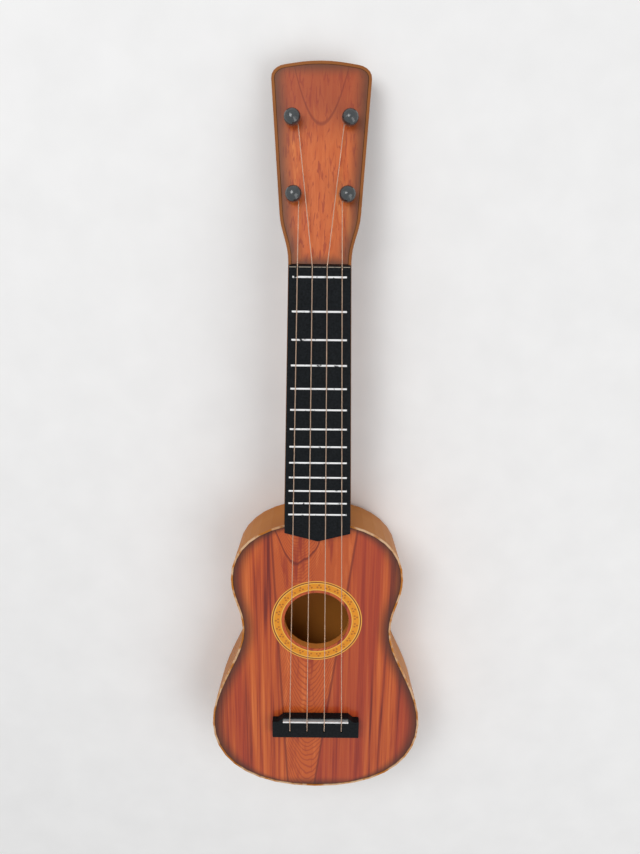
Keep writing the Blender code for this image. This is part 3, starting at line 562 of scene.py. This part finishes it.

# %% [markdown]
# The back and sides are one golden brown moulding, and the neck is another, a little darker.
# Moulded plastic is never quite even, so a wide noise lets the colour drift, and a very fine
# one breaks the shine. The rim's top edge is pale in patches, partly rubbed wear and partly
# a painted highlight along the edge: that is paint that starts at a height and is broken up by
# noise.

# %% The mouldings' finish
RIM_STARTS, RIM_ENDS = BOARD_TOP - 0.0012, BOARD_TOP + 0.0002


def shell_finish(name, colour, darker, rim_wear_and_highlight_colour):
    finish, tree, shader = new_finish(name, 0.45, specular=0.14)
    _, _, z, place = places(tree)
    base = ramp(even_noise(place, 14, 3.0), ((0.30, darker), (0.70, colour)))
    patches = smooth_step(even_noise(place, 90, 4.0), 0.42, 0.6)
    # Pale top edge of the body's rim: partly rubbed wear, partly a painted highlight.
    rim_wear_and_highlight = smooth_step(z, RIM_STARTS, RIM_ENDS) * patches
    feed(tree, shader.inputs["Base Color"], paint(base, rim_wear_and_highlight_colour, rim_wear_and_highlight * 0.55))
    bump(shader, even_noise(place, 900, 2.0), 0.06)
    return finish


# The body's pale rim colour stands partly for a painted highlight on the edge.
finishes["body_shell"] = shell_finish(
    "golden_shell", (0.50, 0.185, 0.030), (0.40, 0.130, 0.020), (0.80, 0.62, 0.42)
)
finishes["neck_shell"] = shell_finish(
    "neck_brown", (0.34, 0.12, 0.030), (0.24, 0.080, 0.020), (0.27, 0.11, 0.04)
)
print("mouldings: body and neck")

# %% [markdown]
# The fretboard and the bridge are satin black. On the real fretboard the frets are ridges of
# the same moulding with bright foil on their tops, so the foil is paint that starts at a
# height, worn thin in places. The last edge of the nut has a pale line. The bridge has neither.

# %% Black plastic
NUT_RIDGE_HEIGHT = 0.0017
FOIL_ABOVE_BOARD = 0.0003
FOIL_SOFTNESS = 0.0002
FRETS_START_FROM_NUT = 0.005
PALE_EDGE_WIDTH = 0.0009
FOIL_SILVER = (0.80, 0.81, 0.82)
NUT_EDGE_PALE = (0.62, 0.56, 0.46)


def black_plastic(name):
    finish, tree, shader = new_finish(name, 0.42, specular=0.08)
    place = places(tree)[3]
    grain = even_noise(place, 700, 3.0)
    bump(shader, grain, 0.10)
    colour = ramp(grain, ((0.3, (0.003, 0.004, 0.005)), (0.7, (0.009, 0.011, 0.013))))
    feed(tree, shader.inputs["Base Color"], colour)
    return finish, shader, colour


def add_foil(shader, colour):
    """Silver on the frets' tops, and a pale line on the last edge of the nut."""
    _, y, z, place = places(colour.tree)
    from_nut = NUT - y
    foil_from = RIDGE_TOP - NUT_RIDGE_HEIGHT + FOIL_ABOVE_BOARD
    wear = smooth_step(noise(place, (260, 400, 400), 3.0), 0.30, 0.42)
    is_fret = maths("GREATER_THAN", from_nut, FRETS_START_FROM_NUT)
    foil = smooth_step(z, foil_from, foil_from + FOIL_SOFTNESS) * is_fret * wear
    colour = paint(colour, FOIL_SILVER, foil)
    feed(colour.tree, shader.inputs["Metallic"], foil * 0.5)
    # A pale line along the nut's last top edge, broken up by the same noise.
    ridge_top = smooth_step(z, RIDGE_TOP - 0.0007, RIDGE_TOP - 0.0003)
    nut_pale_line = maths("LESS_THAN", from_nut, PALE_EDGE_WIDTH) * wear * ridge_top
    feed(colour.tree, shader.inputs["Base Color"], paint(colour, NUT_EDGE_PALE, nut_pale_line * 0.6))


finishes["fretboard"], fretboard_shader, fretboard_black = black_plastic("fretboard_black")
add_foil(fretboard_shader, fretboard_black)
finishes["bridge"] = black_plastic("bridge_black")[0]
print("foil starts at", round(RIDGE_TOP - NUT_RIDGE_HEIGHT + FOIL_ABOVE_BOARD, 4), "m")

# %% [markdown]
# The small pieces need less. Each has two close colours mixed by fine noise, the right shine,
# and a faint relief. The nylon lets part of the light through, the caps and keys have a clear
# gloss, and only the screws are metal. One function and a table are easier to compare and to
# change than seven separate trees.

# %% Small pieces
SMALL_GRAIN = 300


def plain_finish(name, low, high, **shine):
    finish, tree, shader = new_finish(name, **shine)
    grain = even_noise(places(tree)[3], SMALL_GRAIN, 3.0)
    feed(tree, shader.inputs["Base Color"], ramp(grain, ((0.3, low), (0.7, high))))
    bump(shader, grain, 0.06)
    return finish


DARK_GLOSS = {"low": (0.010, 0.015, 0.018), "high": (0.022, 0.029, 0.033)}
small_finishes = {
    "saddle": plain_finish(
        "saddle_bright", (0.74, 0.74, 0.74), (0.86, 0.86, 0.86), roughness=0.25, metallic=0.35
    ),
    "string": plain_finish(
        "nylon", (0.74, 0.52, 0.38), (0.84, 0.64, 0.48),
        roughness=0.25, coat=0.2, transmission=0.6,
    ),
    "peg_cap": plain_finish("cap_gloss", **DARK_GLOSS, roughness=0.18, coat=0.5),
    "peg_key": plain_finish("key_gloss", **DARK_GLOSS, roughness=0.26, coat=0.4),
    "peg_washer": plain_finish(
        "washer_plastic", (0.68, 0.67, 0.63), (0.78, 0.77, 0.73), roughness=0.5
    ),
    "screw": plain_finish(
        "screw_steel", (0.45, 0.45, 0.46), (0.62, 0.62, 0.63), roughness=0.32, metallic=1.0
    ),
}
finishes.update(small_finishes)
print("finishes:", len(finishes))

# %% [markdown]
# The solids from the frame are right in shape, but their facets show on round parts. Each one
# gets a twin of the same shape with smooth shading: faces that meet at a small angle shade as
# one surface, and real edges stay crisp. The twin stands for its piece and moves with the same
# body. A finish is found by the start of the piece's name, and the screws by the word in it.
# The bridge's own two screws begin with its name, so they take its black. They are inside.

# %% Dress every piece
CRISP_EDGE = math.radians(32)


def finish_for(name):
    return next(
        finish for key, finish in finishes.items()
        if name.startswith(key) or (key == "screw" and key in name)
    )


def smooth_twin(name):
    mesh = nodes[name].data.copy()
    mesh.materials.clear()
    mesh.materials.append(finish_for(name))
    mesh.shade_smooth()
    mesh.set_sharp_from_angle(angle=CRISP_EDGE)
    twin = bpy.data.objects.new(f"{name}_surface", mesh)
    bpy.context.scene.collection.objects.link(twin)
    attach(twin, nodes[name]["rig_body"])
    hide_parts(name)


for name in sorted(nodes):
    smooth_twin(name)
print("dressed", len(nodes), "pieces")

# %% [markdown]
# The studio floor is one large pale sheet, a hair below the instrument's back so that the two
# never share a plane. It catches the soft shadow, and a faint unevenness keeps it from looking
# drawn.

# %% Floor
FLOOR_REACH = 3.0
FLOOR_DROP = 0.0005


def pale_floor():
    mesh = bpy.data.meshes.new("floor")
    corners = [
        (FLOOR_REACH * across, FLOOR_REACH * along, 0)
        for across, along in ((-1, -1), (1, -1), (1, 1), (-1, 1))
    ]
    mesh.from_pydata(corners, [], [(0, 1, 2, 3)])
    floor = bpy.data.objects.new("floor", mesh)
    floor.location.z = -FLOOR_DROP
    bpy.context.scene.collection.objects.link(floor)
    finish, tree, shader = new_finish("floor_pale", 0.9)
    speckle = even_noise(places(tree)[3], 30, 2.0)
    colour = ramp(speckle, ((0.3, (0.86, 0.86, 0.86)), (0.7, (0.89, 0.89, 0.89))))
    feed(tree, shader.inputs["Base Color"], colour)
    mesh.materials.append(finish)


pale_floor()
print("floor", 2 * FLOOR_REACH, "m wide")

# %% [markdown]
# Two wide lamps light the instrument, a stronger one from the head end and a weaker one from
# the other side. Wide lamps give soft shadows. Their power is set so that a colour renders
# about as it is written.

# %% Lamps
LAMPS = (
    ("key_lamp", (-0.7, 0.9, 1.5), 0.9, 14),
    ("fill_lamp", (0.9, -0.3, 1.3), 1.2, 8),
)


def soft_lamp(name, place, size, power):
    light = bpy.data.lights.new(name, "AREA")
    light.size = size
    light.energy = power
    lamp = bpy.data.objects.new(name, light)
    bpy.context.scene.collection.objects.link(lamp)
    lamp.location = place
    lamp.rotation_euler = (-Vector(place)).to_track_quat("-Z", "Y").to_euler()


for lamp in LAMPS:
    soft_lamp(*lamp)
print("lamps:", len(LAMPS))

# %% [markdown]
# The surround is white where the camera, a shiny surface or a clear one sees it, and less than
# half as strong where it only lights things. So the background stays white, and it costs the
# instrument no extra light. The Light Path node tells the two apart.

# %% Surround
LIGHTING_STRENGTH = 0.45
SEEN_STRENGTH = 1.0

world = bpy.data.worlds.new("surround")
bpy.context.scene.world = world
world.use_nodes = True
background = world.node_tree.nodes["Background"]
background.inputs["Color"].default_value = (1, 1, 1, 1)
path = world.node_tree.nodes.new("ShaderNodeLightPath").outputs
camera_ray, glossy_ray, clear_ray = (
    Varying(world.node_tree, path[name])
    for name in ("Is Camera Ray", "Is Glossy Ray", "Is Transmission Ray")
)
seen = maths("MAXIMUM", maths("MAXIMUM", camera_ray, glossy_ray), clear_ray)
strength = seen * (SEEN_STRENGTH - LIGHTING_STRENGTH) + LIGHTING_STRENGTH
feed(world.node_tree, background.inputs["Strength"], strength)
bpy.context.scene.view_settings.view_transform = "Standard"
print("surround lights at", LIGHTING_STRENGTH, "and shows at", SEEN_STRENGTH)

# %% [markdown]

# %% Finish
print("scene ready")
